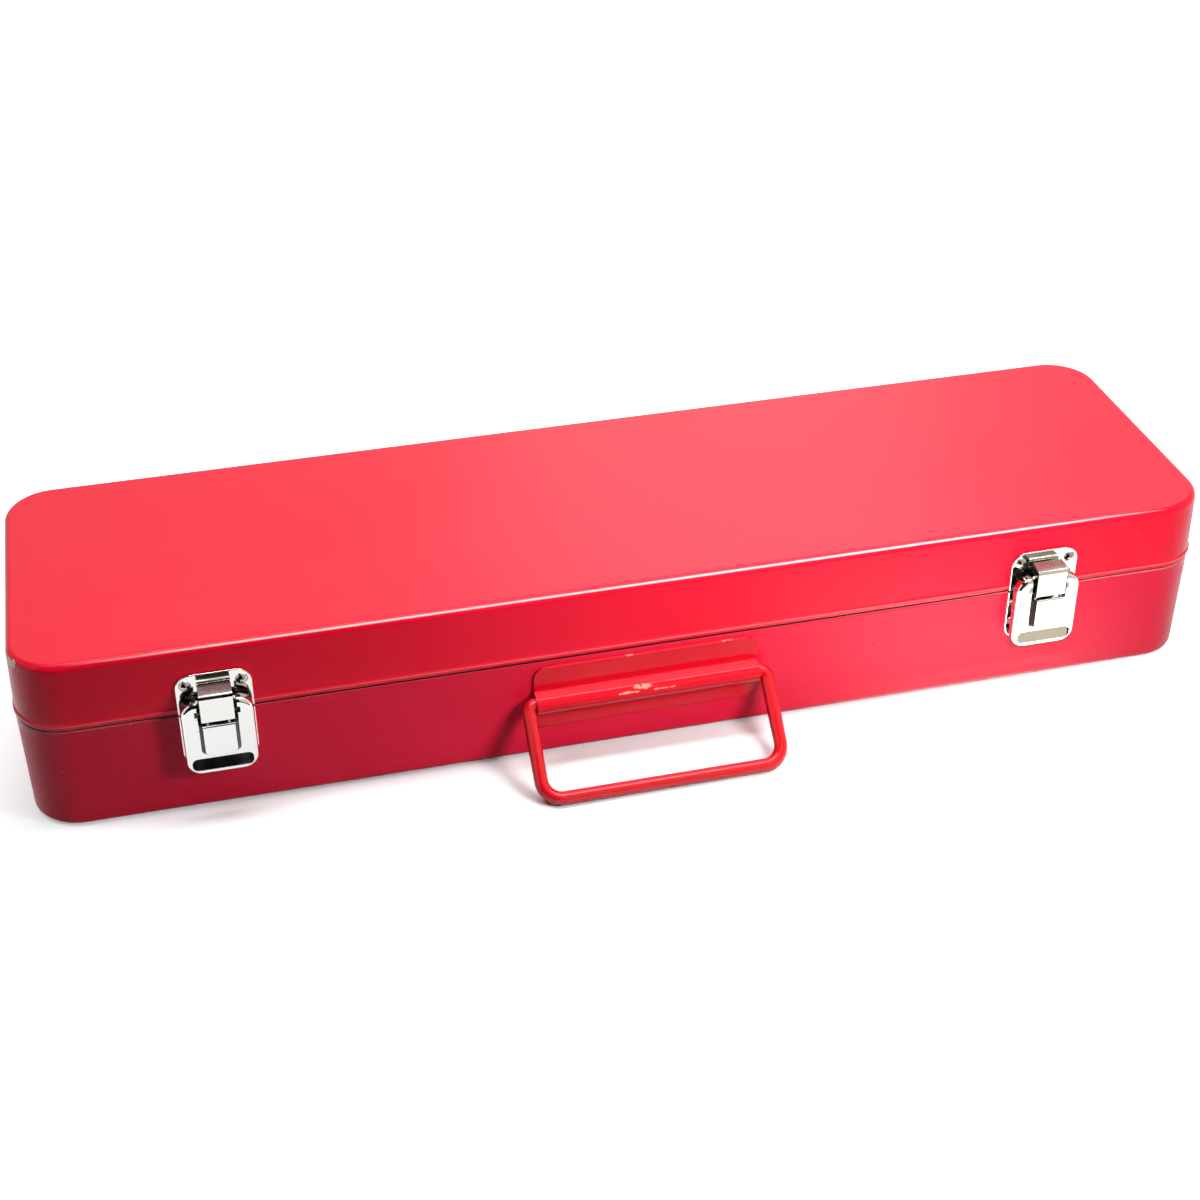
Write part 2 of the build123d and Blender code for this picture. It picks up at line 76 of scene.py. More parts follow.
def add(tree, kind, inputs=None, **settings):
    """Adds one node; inputs are values, or the outputs of other nodes to link from."""
    made = tree.nodes.new(kind)
    for name, value in settings.items():
        setattr(made, name, value)
    for name, value in (inputs or {}).items():
        if isinstance(value, bpy.types.NodeSocket):
            tree.links.new(value, made.inputs[name])
        else:
            made.inputs[name].default_value = value
    return made


def new_material(name):
    """An empty node material and its tree."""
    material = bpy.data.materials.new(name)
    material.use_nodes = True
    material.node_tree.nodes.clear()
    return material, material.node_tree


def per_mm(size):
    """A texture scale at which one feature of the pattern is that many millimetres across."""
    return 1 / (size * mm)


def stoved_enamel(name, colour, shade, gloss, peel_depth, shine=0.17, chips=(),
                  primer=("#EEB096", "#D8644A")):
    """Red stoving enamel on pressed steel. The eye gets a deep even red with a soft shine, a
    painted sheen that makes up-facing tops paler, a faint orange peel about 2 mm across, a few
    nibs of dust baked in, folds polished bright by handling and carrying a painted pale highlight
    line, painted shade darkening the seam, and, where it has been knocked, ragged chips that show
    mottled primer.
    The spray's grain is drawn 0.9 mm across, coarser than it is. chips are (centre, half size) in
    metres."""
    cloud_size, grain_size, peel_size, nib_spacing, rag_size = 55, 0.9, 2.2, 9, 2.4
    nib_share, handled_gloss, raggedness = 0.14, 0.12, 2.2
    # Colours: a painted sheen for tops, dust nibs, a painted pale highlight, and painted shade for
    # the seam.
    top_sheen, dusty, highlight_pale, seam_shade = "#F5404E", "#FF6A6A", "#FFE9E5", "#2A0508"
    material, tree = new_material(name)
    place = add(tree, "ShaderNodeTexCoord").outputs["Object"]
    cloud = add(tree, "ShaderNodeTexNoise", {
        "Vector": place, "Scale": per_mm(cloud_size), "Detail": 3})
    grain = add(tree, "ShaderNodeTexNoise", {
        "Vector": place, "Scale": per_mm(grain_size), "Detail": 2})
    depth = add(tree, "ShaderNodeMapRange", {
        "Value": cloud.outputs["Fac"], "From Min": 0.35, "From Max": 0.65, "To Max": 0.4})
    depth = add(tree, "ShaderNodeMath", {
        0: grain.outputs["Fac"], 1: 0.6, 2: depth.outputs[0]}, operation="MULTIPLY_ADD")
    skin = add(tree, "ShaderNodeMix", {
        0: depth.outputs[0], 6: linear(colour), 7: linear(shade)}, data_type="RGBA").outputs[2]
    # Up-facing tops are painted paler, as a painted sheen.
    facing = add(tree, "ShaderNodeTexCoord").outputs["Normal"]
    up = add(tree, "ShaderNodeSeparateXYZ", {"Vector": facing}).outputs["Z"]
    up = add(tree, "ShaderNodeMapRange", {"Value": up, "From Min": 0.9, "From Max": 0.99})
    top_sheen_share = add(tree, "ShaderNodeMapRange", {
        "Value": cloud.outputs["Fac"], "From Min": 0.3, "From Max": 0.7,
        "To Min": 0.5, "To Max": 0.7})
    top_sheen_share = add(tree, "ShaderNodeMath", {
        0: top_sheen_share.outputs[0], 1: up.outputs[0]}, operation="MULTIPLY")
    skin = add(tree, "ShaderNodeMix", {
        0: top_sheen_share.outputs[0], 6: skin, 7: linear(top_sheen)}, data_type="RGBA").outputs[2]
    nibs = add(tree, "ShaderNodeTexVoronoi", {"Vector": place, "Scale": per_mm(nib_spacing)})
    nib = add(tree, "ShaderNodeMapRange", {
        "Value": nibs.outputs["Distance"], "From Min": 0.02, "From Max": 0.045,
        "To Min": 1, "To Max": 0})
    rare = add(tree, "ShaderNodeSeparateColor", {"Color": nibs.outputs["Color"]})
    rare = add(tree, "ShaderNodeMath", {
        0: rare.outputs[0], 1: 1 - nib_share}, operation="GREATER_THAN")
    nib = add(tree, "ShaderNodeMath", {
        0: nib.outputs[0], 1: rare.outputs[0]}, operation="MULTIPLY").outputs[0]
    skin = add(tree, "ShaderNodeMix", {
        0: nib, 6: skin, 7: linear(dusty)}, data_type="RGBA").outputs[2]
    # A painted pale highlight where a fold is marked for it, patchy with the cloud.
    painted_highlight = add(tree, "ShaderNodeAttribute", attribute_name="painted_highlight").outputs["Fac"]
    patchy = add(tree, "ShaderNodeMapRange", {
        "Value": cloud.outputs["Fac"], "From Min": 0.3, "From Max": 0.6, "To Min": 0.75})
    highlight_share = add(tree, "ShaderNodeMath", {0: painted_highlight, 1: patchy.outputs[0]}, operation="MULTIPLY")
    skin = add(tree, "ShaderNodeMix", {
        0: highlight_share.outputs[0], 6: skin, 7: linear(highlight_pale)}, data_type="RGBA").outputs[2]
    # Where marked, the seam is painted dark as shade.
    painted_seam_shade = add(tree, "ShaderNodeAttribute", attribute_name="painted_seam_shade").outputs["Fac"]
    skin = add(tree, "ShaderNodeMix", {
        0: painted_seam_shade, 6: skin, 7: linear(seam_shade)}, data_type="RGBA").outputs[2]
    peel = add(tree, "ShaderNodeTexNoise", {
        "Vector": place, "Scale": per_mm(peel_size), "Detail": 1})
    relief = add(tree, "ShaderNodeMath", {
        0: nib, 1: 2.0, 2: peel.outputs["Fac"]}, operation="MULTIPLY_ADD").outputs[0]
    ragged = add(tree, "ShaderNodeTexNoise", {
        "Vector": place, "Scale": per_mm(rag_size), "Detail": 4})
    chipped = None
    for centre, size in chips:
        apart = add(tree, "ShaderNodeVectorMath", {0: place, 1: centre}, operation="SUBTRACT")
        scaled = add(tree, "ShaderNodeVectorMath", {
            0: apart.outputs[0], 1: [1 / side for side in size]}, operation="MULTIPLY")
        reach = add(tree, "ShaderNodeVectorMath", {0: scaled.outputs[0]}, operation="LENGTH")
        rough = add(tree, "ShaderNodeMath", {
            0: ragged.outputs["Fac"], 1: raggedness, 2: reach.outputs["Value"]},
            operation="MULTIPLY_ADD")
        inside = add(tree, "ShaderNodeMapRange", {
            "Value": rough.outputs[0], "From Min": 1.7, "From Max": 1.8, "To Min": 1, "To Max": 0})
        chipped = inside.outputs[0] if chipped is None else add(tree, "ShaderNodeMath", {
            0: chipped, 1: inside.outputs[0]}, operation="MAXIMUM").outputs[0]
    if chipped is not None:
        bare = add(tree, "ShaderNodeMix", {
            0: grain.outputs["Fac"], 6: linear(primer[0]), 7: linear(primer[1])}, data_type="RGBA")
        skin = add(tree, "ShaderNodeMix", {
            0: chipped, 6: skin, 7: bare.outputs[2]}, data_type="RGBA").outputs[2]
        relief = add(tree, "ShaderNodeMath", {
            0: chipped, 1: -3.0, 2: relief}, operation="MULTIPLY_ADD").outputs[0]
    bump = add(tree, "ShaderNodeBump", {
        "Height": relief, "Strength": 0.3, "Distance": peel_depth})
    matte = add(tree, "ShaderNodeMapRange", {
        "Value": cloud.outputs["Fac"], "To Min": gloss - 0.04, "To Max": gloss + 0.08})
    polished = add(tree, "ShaderNodeAttribute", attribute_name="polished").outputs["Fac"]
    matte = add(tree, "ShaderNodeMix", {
        "Factor": polished, "A": matte.outputs[0], "B": min(gloss, handled_gloss)},
        data_type="FLOAT")
    shader = add(tree, "ShaderNodeBsdfPrincipled", {
        "Base Color": skin, "Roughness": matte.outputs[0], "IOR": 1.5, "Specular IOR Level": shine,
        "Normal": bump.outputs[0]})
    add(tree, "ShaderNodeOutputMaterial", {"Surface": shader.outputs[0]})
    return material


def ring(inset, z, bow=0.0):
    """One level of a pan: a rectangle with round corners, bowed in height along its length."""
    corner_steps, side_steps = 12, 16
    reach_x, reach_y = half_length - inset, half_width - inset
    radius = corner_radius - inset
    points = []
    for sign_x, sign_y, turn in ((1, 1, 0), (-1, 1, 90), (-1, -1, 180), (1, -1, 270)):
        centre = Vector((sign_x * (reach_x - radius), sign_y * (reach_y - radius), 0))
        for step in range(corner_steps + 1):
            angle = math.radians(turn + 90 * step / corner_steps)
            points.append(centre + radius * Vector((math.cos(angle), math.sin(angle), 0)))
        if turn in (0, 180):
            start, end = points[-1], Vector((-points[-1].x, points[-1].y, 0))
            points += [start.lerp(end, step / side_steps) for step in range(1, side_steps)]
    for point in points:
        point.z = z + bow * (1 - (point.x / half_length) ** 2)
    return points


def loft(name, rings):
    """A closed skin through the rings, with a flat face over the first and the last."""
    mesh = bmesh.new()
    levels = [[mesh.verts.new(point) for point in level] for level in rings]
    for low, high in zip(levels, levels[1:]):
        for i in range(len(low)):
            j = (i + 1) % len(low)
            mesh.faces.new((low[i], low[j], high[j], high[i]))
    mesh.faces.new(reversed(levels[0]))
    mesh.faces.new(levels[-1])
    for face in mesh.faces:
        face.smooth = True
    bmesh.ops.recalc_face_normals(mesh, faces=mesh.faces)
    data = bpy.data.meshes.new(name)
    mesh.to_mesh(data)
    mesh.free()
    piece = bpy.data.objects.new(name, data)
    bpy.context.scene.collection.objects.link(piece)
    weighted = piece.modifiers.new("weighted", "WEIGHTED_NORMAL")
    weighted.keep_sharp = True
    return piece


def quarter(radius, steps=8):
    """(across, along) from 0, 0 round a quarter circle to radius, radius."""
    return [(radius * (1 - math.cos(a)), radius * math.sin(a))
            for a in (math.pi / 2 * step / steps for step in range(steps + 1))]


def pan_levels(seam_z, far_z, inset, radius, bow):
    """Rings of a drawn pan's wall, from the middle of its far face to the seam."""
    up = 1 if seam_z > far_z else -1
    foot = inset + abs(seam_z - far_z) * draft
    levels = [ring(foot + 3 * radius, far_z)]
    for across, along in quarter(radius):
        z = far_z + up * across
        levels.append(ring(inset + abs(seam_z - z) * draft + radius - along, z))
    for share in (0.1, 0.5, 0.9):
        z = far_z + up * radius + (seam_z - far_z - up * radius) * share
        levels.append(ring(inset + abs(seam_z - z) * draft, z, bow * share))
    return levels


def mark_wear_and_highlight(piece, kind, height, reach, most=1.0, fade=0):
    """Marks the points of a fold with one of its two kinds of mark, polish and a painted pale
    highlight: most at that height, none beyond reach. With a fade, only along the front, and dying
    away over that length towards the corners."""
    front_y = -half_width + 4 * mm
    marks = piece.data.attributes.get(kind)
    marks = marks or piece.data.attributes.new(kind, "FLOAT", "POINT")
    for vertex, mark in zip(piece.data.vertices, marks.data):
        amount = max(0, most * (1 - abs(vertex.co.z - height) / reach))
        if fade:
            straight = half_length - corner_radius - abs(vertex.co.x)
            amount *= max(0, min(1, straight / fade)) if vertex.co.y < front_y else 0
        mark.value = max(mark.value, min(1, amount))


inner_top = shoulder_z - sheet
levels = pan_levels(shoulder_z, base_low.z, 0, pan_edge_radius, -shoulder_dip)
levels += [ring(a, shoulder_z - shoulder_radius + b, -shoulder_dip)
           for a, b in quarter(shoulder_radius)]
seam_start = len(levels) - 1
levels += [ring(lip_inset, shoulder_z, -shoulder_dip), ring(lip_inset, lip_straight_z)]
levels += [ring(lip_inset, base_high.z - lip_edge)]
levels += [ring(lip_inset + lip_edge, base_high.z)]
levels += [ring(lip_inset + sheet - lip_edge, base_high.z)]
levels += [ring(lip_inset + sheet, base_high.z - lip_edge), ring(lip_inset + sheet, inner_top)]
levels += [ring(sheet, inner_top - fold_step)]
levels += pan_levels(inner_top, base_low.z + sheet, sheet, pan_edge_radius - sheet, 0)[::-1]
base_pan = loft("base_pan_skin", levels)
# The shoulder under the seam gets a faint painted pale highlight, and its fold is polished.
mark_wear_and_highlight(base_pan, "painted_highlight", shoulder_z - 0.3 * mm, 0.3 * mm, 0.3)
mark_wear_and_highlight(base_pan, "polished", shoulder_z, 1.5 * mm)

# Painted shade darkens the seam, where the shoulder meets the lip, under the lid's rim.
marks = base_pan.data.attributes.new("painted_seam_shade", "FLOAT", "POINT")
for mark in marks.data[seam_start * len(levels[0]):(seam_start + 2) * len(levels[0])]:
    mark.value = 1

pan_enamel = stoved_enamel("stoved_red_enamel", "#EE1840", "#DE1236", 0.32, 0.03 * mm)
base_pan.data.materials.append(pan_enamel)
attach(base_pan, "base")
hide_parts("base_pan")


# ---- Lid pan ----
# The upper half, drawn from the same sheet and shallower. A bead is rolled along its rim to
# stiffen it. It is sprayed with the base. A knock at its front left corner and a nick in its front
# at the right have gone through the enamel to the primer.

bead_height = 2.4 * mm
bead_proud = 0.5 * mm
bead_land = 0.3 * mm
bead_fullness = 0.6
bead_steps = 8
rim_z = lid_low.z
levels = pan_levels(rim_z, lid_high.z, 0, pan_edge_radius, 0)
levels += [ring(0, rim_z + bead_height + bead_land)]
for step in range(bead_steps + 1):
    angle = math.pi * step / bead_steps
    levels.append(ring(-bead_proud * math.sin(angle) ** bead_fullness,
                       rim_z + bead_height / 2 * (1 + math.cos(angle))))
levels += [ring(sheet, rim_z)]
levels += pan_levels(rim_z, lid_high.z - sheet, sheet, pan_edge_radius - sheet, 0)[::-1]
lid_pan = loft("lid_pan_skin", levels)

# The knock on the corner, then the nick in the front wall: each a centre and a half size.
knocks = [
    ((-0.2373, -0.0541, 0.0722), (3.5 * mm, 5 * mm, 3 * mm)),
    ((0.2077, -0.0648, 0.0636), (0.45 * mm, 1 * mm, 0.45 * mm)),
]

# The fold round the top has a painted pale highlight line along the front and is polished all
# round. The bead is polished all round too, with only a faint painted highlight.
mark_wear_and_highlight(lid_pan, "painted_highlight", lid_high.z - 0.88 * mm, 0.3 * mm, fade=50 * mm)
mark_wear_and_highlight(lid_pan, "polished", lid_high.z - 1.5 * mm, 1.5 * mm, 4)
mark_wear_and_highlight(lid_pan, "painted_highlight", rim_z + 1.7 * mm, 0.5 * mm, 0.18)
mark_wear_and_highlight(lid_pan, "polished", rim_z + 1.2 * mm, 1.6 * mm, 2)

# The primer in the lid's chips is paler than the default, a painted highlight on the knock where
# the corner faces the light.
lid_enamel = stoved_enamel(
    "stoved_red_enamel_knocked", "#F41034", "#E60C2C", 0.32, 0.03 * mm, chips=knocks,
    primer=("#F8ECE6", "#EAB8A6"))
lid_pan.data.materials.append(lid_enamel)
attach(lid_pan, "lid")
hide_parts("lid_pan")


# ---- Tray ledges ----
# Two angles folded from strip, spot-welded to the end walls of the base before painting, so they
# carry the same coat. The tray rests on them.


def finish(name, material):
    """Gives one CAD node its material, and shades it smooth with its own edges kept."""
    node = nodes[name]
    node.data.materials.clear()
    node.data.materials.append(material)
    for face in node.data.polygons:
        face.use_smooth = True


for side in ("left", "right"):
    finish(f"tray_ledge_{side}", pan_enamel)


# ---- Rear hinges ----
# Two butt hinges pressed from 1 mm steel with knuckles curled round a pin. The leaves are
# spot-welded to the pans and painted with them, thinly over the welds.

hinge_enamel = stoved_enamel(
    "stoved_red_enamel_over_welds", "#EC243E", "#D21C32", 0.36, 0.05 * mm)


def drawn_wire(name, colour, shade, along):
    """Steel wire drawn through a die, then zinc-plated or blacked in oil. The eye gets a plain
    metal with dull scratches along its length, drawn 0.15 mm apart, coarser than they are, so that
    they show, and a faint bloom about 3 mm across."""
    scratch_size, bloom_size = 0.15, 3
    material, tree = new_material(name)
    place = add(tree, "ShaderNodeTexCoord").outputs["Object"]
    stretch = [0.02 if axis == along else 1 for axis in "xyz"]
    lines = add(tree, "ShaderNodeMapping", {"Vector": place, "Scale": stretch})
    scratch = add(tree, "ShaderNodeTexNoise", {
        "Vector": lines.outputs[0], "Scale": per_mm(scratch_size), "Detail": 2})
    bloom = add(tree, "ShaderNodeTexNoise", {
        "Vector": place, "Scale": per_mm(bloom_size), "Detail": 3})
    tone = add(tree, "ShaderNodeMath", {
        0: scratch.outputs["Fac"], 1: bloom.outputs["Fac"]}, operation="MULTIPLY")
    tint = add(tree, "ShaderNodeMix", {
        0: tone.outputs[0], 6: linear(colour), 7: linear(shade)}, data_type="RGBA")
    dull = add(tree, "ShaderNodeMapRange", {
        "Value": scratch.outputs["Fac"], "To Min": 0.22, "To Max": 0.45})
    bump = add(tree, "ShaderNodeBump", {
        "Height": scratch.outputs["Fac"], "Strength": 0.3, "Distance": 0.02 * mm})
    shader = add(tree, "ShaderNodeBsdfPrincipled", {
        "Base Color": tint.outputs[2], "Metallic": 1, "Roughness": dull.outputs[0],
        "Normal": bump.outputs[0]})
    add(tree, "ShaderNodeOutputMaterial", {"Surface": shader.outputs[0]})
    return material


hinge_wire = drawn_wire("zinc_plated_steel_wire", "#C9CACC", "#8E9092", "x")
for side in ("left", "right"):
    finish(f"hinge_base_leaf_{side}", hinge_enamel)
    finish(f"hinge_lid_leaf_{side}", hinge_enamel)
    finish(f"hinge_pin_{side}", hinge_wire)


# ---- Handle saddle ----
# A strip of steel rolled into a barrel round the handle wire and spot-welded to the front of the
# base by its two flanges. It stands proud, so its enamel is rubbed through in the middle.

saddle_low, saddle_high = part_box("handle_saddle")
barrel_y = saddle_low.y

# Three rubs along the front of the barrel and two on the upper flange's top edge.
rubs = [
    ((-0.0085, barrel_y, 0.0300), (8 * mm, 4 * mm, 0.7 * mm)),
    ((-0.0030, barrel_y, 0.0312), (6 * mm, 4 * mm, 1.3 * mm)),
    ((0.0055, barrel_y, 0.0298), (6 * mm, 4 * mm, 0.5 * mm)),
    ((-0.0070, saddle_high.y, saddle_high.z), (2.5 * mm, 3 * mm, 0.3 * mm)),
    ((0.0330, saddle_high.y, saddle_high.z), (3 * mm, 3 * mm, 0.3 * mm)),
]
saddle_enamel = stoved_enamel(
    "stoved_red_enamel_rubbed", "#E00C26", "#CC0A20", 0.08, 0.04 * mm, chips=rubs)
finish("handle_saddle", saddle_enamel)


# ---- Carry handle ----
# One length of 5.5 mm steel wire bent to a flat loop, its two ends turned in and caught in the
# saddle's barrel. It was dipped, so its coat is glossier than the sprayed one on the pans.

wire_enamel = stoved_enamel(
    "dipped_red_enamel", "#CC101E", "#B80C18", 0.07, 0.02 * mm, shine=0.4)
finish("carry_handle", wire_enamel)


# ---- Catch plates and their rivets ----
# Pressed from 1 mm steel with the keeper turned up in the middle, barrel-plated in bright nickel,
# and held to the lid by two domed rivets each.

claw_low, claw_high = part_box("latch_claw_left")
latch_x = -(claw_low.x + claw_high.x) / 2


def bright_nickel(name, tint, dull, ripple, pits, latch_reach=0):
    """Bright nickel plate on pressed steel. The eye gets a warm white mirror that bends what it
    reflects a little, with dull finger smudges and small dark pits where the plate is thin. Within
    the given reach of a latch's middle it also gets near-black painted shade on the steep side
    walls, and grey streaks on the tops where the claw drags over the keeper, partly a painted dark
    reflection."""
    smudge_size, ripple_size, pit_spacing, streak_size = 6, 5.5, 2.6, 1.1
    # Dark pits, a grey for the tops that is partly a painted dark reflection, and near black for
    # painted shade on the side walls.
    pitted, dark_top_tone, side_wall_shade = "#4A453F", "#5C5752", "#1B1714"
    material, tree = new_material(name)
    place = add(tree, "ShaderNodeTexCoord").outputs["Object"]
    smudge = add(tree, "ShaderNodeTexNoise", {
        "Vector": place, "Scale": per_mm(smudge_size), "Detail": 3})
    dulled = add(tree, "ShaderNodeMapRange", {
        "Value": smudge.outputs["Fac"], "From Min": 0.35, "From Max": 0.75,
        "To Min": dull, "To Max": dull + 0.1})
    wave = add(tree, "ShaderNodeTexNoise", {
        "Vector": place, "Scale": per_mm(ripple_size), "Detail": 1})
    spots = add(tree, "ShaderNodeTexVoronoi", {"Vector": place, "Scale": per_mm(pit_spacing)})
    rare = add(tree, "ShaderNodeSeparateColor", {"Color": spots.outputs["Color"]})
    rare = add(tree, "ShaderNodeMath", {0: rare.outputs[0], 1: 1 - pits}, operation="GREATER_THAN")
    pit = add(tree, "ShaderNodeMapRange", {
        "Value": spots.outputs["Distance"], "From Min": 0.05, "From Max": 0.12,
        "To Min": 1, "To Max": 0})
    pit = add(tree, "ShaderNodeMath", {
        0: pit.outputs[0], 1: rare.outputs[0]}, operation="MULTIPLY")
    colour = add(tree, "ShaderNodeMix", {
        0: pit.outputs[0], 6: linear(tint), 7: linear(pitted)}, data_type="RGBA")
    if latch_reach:
        facing = add(tree, "ShaderNodeTexCoord").outputs["Normal"]
        facing = add(tree, "ShaderNodeVectorMath", {0: facing}, operation="ABSOLUTE").outputs[0]
        facing = add(tree, "ShaderNodeSeparateXYZ", {"Vector": facing}).outputs
        across = add(tree, "ShaderNodeVectorMath", {0: place}, operation="ABSOLUTE").outputs[0]
        across = add(tree, "ShaderNodeSeparateXYZ", {"Vector": across}).outputs["X"]
        near = add(tree, "ShaderNodeMath", {0: across, 1: latch_x, 2: latch_reach}, operation="COMPARE")
        height = add(tree, "ShaderNodeSeparateXYZ", {"Vector": place}).outputs["Z"]
        under = add(tree, "ShaderNodeMath", {0: height, 1: claw_high.z}, operation="LESS_THAN")
        near = add(tree, "ShaderNodeMath", {
            0: near.outputs[0], 1: under.outputs[0]}, operation="MULTIPLY")
        # Near-black painted shade on the steep side walls near the latch.
        side_wall_darkening = add(tree, "ShaderNodeMapRange", {
            "Value": facing["X"], "From Min": 0.45, "From Max": 0.7},
            interpolation_type="SMOOTHSTEP")
        side_wall_darkening = add(tree, "ShaderNodeMath", {
            0: side_wall_darkening.outputs[0], 1: near.outputs[0]}, operation="MULTIPLY").outputs[0]
        # Grey streaks on the up-facing tops near the latch: drag marks, and a painted dark
        # reflection.
        lines = add(tree, "ShaderNodeMapping", {"Vector": place, "Scale": (0.12, 1, 1)})
        streak = add(tree, "ShaderNodeTexNoise", {
            "Vector": lines.outputs[0], "Scale": per_mm(streak_size), "Detail": 3})
        streak = add(tree, "ShaderNodeMapRange", {
            "Value": streak.outputs["Fac"], "From Min": 0.35, "From Max": 0.6, "To Min": 0.35})
        flat = add(tree, "ShaderNodeMapRange", {
            "Value": facing["Z"], "From Min": 0.7, "From Max": 0.9, "To Max": 0.8})
        dark_top = add(tree, "ShaderNodeMath", {
            0: flat.outputs[0], 1: streak.outputs[0]}, operation="MULTIPLY").outputs[0]
        dark_top = add(tree, "ShaderNodeMath", {0: dark_top, 1: near.outputs[0]}, operation="MULTIPLY")
        for mark, shade in ((dark_top.outputs[0], dark_top_tone), (side_wall_darkening, side_wall_shade)):
            colour = add(tree, "ShaderNodeMix", {
                0: mark, 6: colour.outputs[2], 7: linear(shade)}, data_type="RGBA")
            dulled = add(tree, "ShaderNodeMath", {
                0: mark, 1: 0.3, 2: dulled.outputs[0]}, operation="MULTIPLY_ADD")
    relief = add(tree, "ShaderNodeMath", {
        0: pit.outputs[0], 1: -0.5, 2: wave.outputs["Fac"]}, operation="MULTIPLY_ADD")
    bump = add(tree, "ShaderNodeBump", {
        "Height": relief.outputs[0], "Strength": 0.3, "Distance": ripple})
    shader = add(tree, "ShaderNodeBsdfPrincipled", {
        "Base Color": colour.outputs[2], "Metallic": 1, "Roughness": dulled.outputs[0],
        "Normal": bump.outputs[0]})
    add(tree, "ShaderNodeOutputMaterial", {"Surface": shader.outputs[0]})
    return material


plate_nickel = bright_nickel("bright_nickel_on_plate", "#DEDCD8", 0.05, 0.12 * mm, 0.02, 6.5 * mm)
# The rivets' nickel is tinted darker than the plates', a painted dark reflection.
rivet_nickel = bright_nickel("bright_nickel_on_rivet", "#B4B0AA", 0.12, 0.06 * mm, 0.04)
for side in ("left", "right"):
    finish(f"catch_plate_{side}", plate_nickel)
    finish(f"catch_rivets_{side}", rivet_nickel)


# ---- Latch plates and their rivets ----
# The lower plate of each latch, nickelled like the catch plate. Its two ears are turned out to
# carry the lever's pin, and it is riveted to the base under the lever.

# The pins are painted near black: oil-blacked steel, and painted shade where they sit in the
# mechanism.
pin_wire = drawn_wire("oil_black_and_shaded_steel_wire", "#2E2B29", "#151312", "x")
for side in ("left", "right"):
    finish(f"latch_plate_{side}", plate_nickel)
    finish(f"latch_rivets_{side}", rivet_nickel)
    finish(f"lever_pin_{side}", pin_wire)


# ---- Latch levers ----
# Deep-drawn nickelled shells: a rim turned back all round, a slot for the claw, a raised hump
# below it to match the claw's face, and a finger scoop at the foot.

lever_nickel = bright_nickel("bright_nickel_on_lever", "#E0DFDD", 0.04, 0.1 * mm, 0.05, 8.5 * mm)
for side in ("left", "right"):
    finish(f"latch_lever_{side}", lever_nickel)
    finish(f"claw_pin_{side}", pin_wire)


# ---- Latch claws ----
# A nickelled strip that hangs from its pin in the lever, with its top rolled over to hook on the
# keeper. The roll has crazed the plate a little.

claw_nickel = bright_nickel("bright_nickel_on_claw", "#DEDCD8", 0.06, 0.12 * mm, 0.09, 8.5 * mm)
for side in ("left", "right"):
    finish(f"latch_claw_{side}", claw_nickel)


# ---- Lift-out tray ----
# A shallow tray drawn from thin sheet with its rim turned out, one long divider and two short
# ones spot-welded in, and a grip at each end. It has one sprayed coat, duller than the case.

tray_enamel = stoved_enamel("stoved_red_enamel_single_coat", "#E4243C", "#CC1C32", 0.4, 0.05 * mm)
for name in ("tray_pan", "tray_divider_long", "tray_dividers_cross", "tray_grip_left",
             "tray_grip_right"):
    finish(name, tray_enamel)


# ---- Floor ----
# A sweep of white paper. The camera and the shine see it brighter than it lights the case: it
# glows more and more away from the case, so its far parts are white and the case keeps its shadow.

# The patch that doesn't glow is an oval round a point 81 mm in front of the case's middle.
glow_starts, glow_full = 0.08, 0.45
glow_stretch, glow_shift = (1, 1.6, 1), (0, 0.13, 0)


def looked_at(tree):
    """1 where the camera, the shine or a clear thing looks, and 0 where light is gathered."""
    rays = add(tree, "ShaderNodeLightPath").outputs
    seen = add(tree, "ShaderNodeMath", {
        0: rays["Is Camera Ray"], 1: rays["Is Glossy Ray"]}, operation="MAXIMUM")
    return add(tree, "ShaderNodeMath", {
        0: seen.outputs[0], 1: rays["Is Transmission Ray"]}, operation="MAXIMUM").outputs[0]


# Its fibres are drawn 0.8 mm across, coarser than they are.
paper, tree = new_material("white_paper")
seen = looked_at(tree)
place = add(tree, "ShaderNodeNewGeometry").outputs["Position"]
away = add(tree, "ShaderNodeVectorMath", {
    0: place, 1: glow_stretch, 2: glow_shift}, operation="MULTIPLY_ADD")
away = add(tree, "ShaderNodeVectorMath", {0: away.outputs[0]}, operation="LENGTH")
lift = add(tree, "ShaderNodeMapRange", {
    "Value": away.outputs["Value"], "From Min": glow_starts, "From Max": glow_full},
    interpolation_type="SMOOTHSTEP")
lift = add(tree, "ShaderNodeMath", {0: lift.outputs[0], 1: seen}, operation="MULTIPLY")
fibre = add(tree, "ShaderNodeTexNoise", {"Vector": place, "Scale": per_mm(0.8), "Detail": 2})
white = add(tree, "ShaderNodeMix", {
    0: fibre.outputs["Fac"], 6: linear("#F4F9FA"), 7: linear("#EEF3F4")}, data_type="RGBA")
shade = add(tree, "ShaderNodeMix", {
    0: seen, 6: linear("#78787C"), 7: white.outputs[2]}, data_type="RGBA")
glow = add(tree, "ShaderNodeEmission", {"Strength": lift.outputs[0]})
matt = add(tree, "ShaderNodeBsdfDiffuse", {"Color": shade.outputs[2]})
both = add(tree, "ShaderNodeAddShader", {0: matt.outputs[0], 1: glow.outputs[0]})
add(tree, "ShaderNodeOutputMaterial", {"Surface": both.outputs[0]})
bpy.ops.mesh.primitive_plane_add(size=12, location=(0, 0, base_low.z))
floor = bpy.context.object
floor.name = "floor"
floor.data.materials.append(paper)


# ---- Studio ----
# A white room, seen by the camera and by the shine but lighting the case only faintly, with three
# lamps, and cards of black and tan felt round the front that only the shine sees.

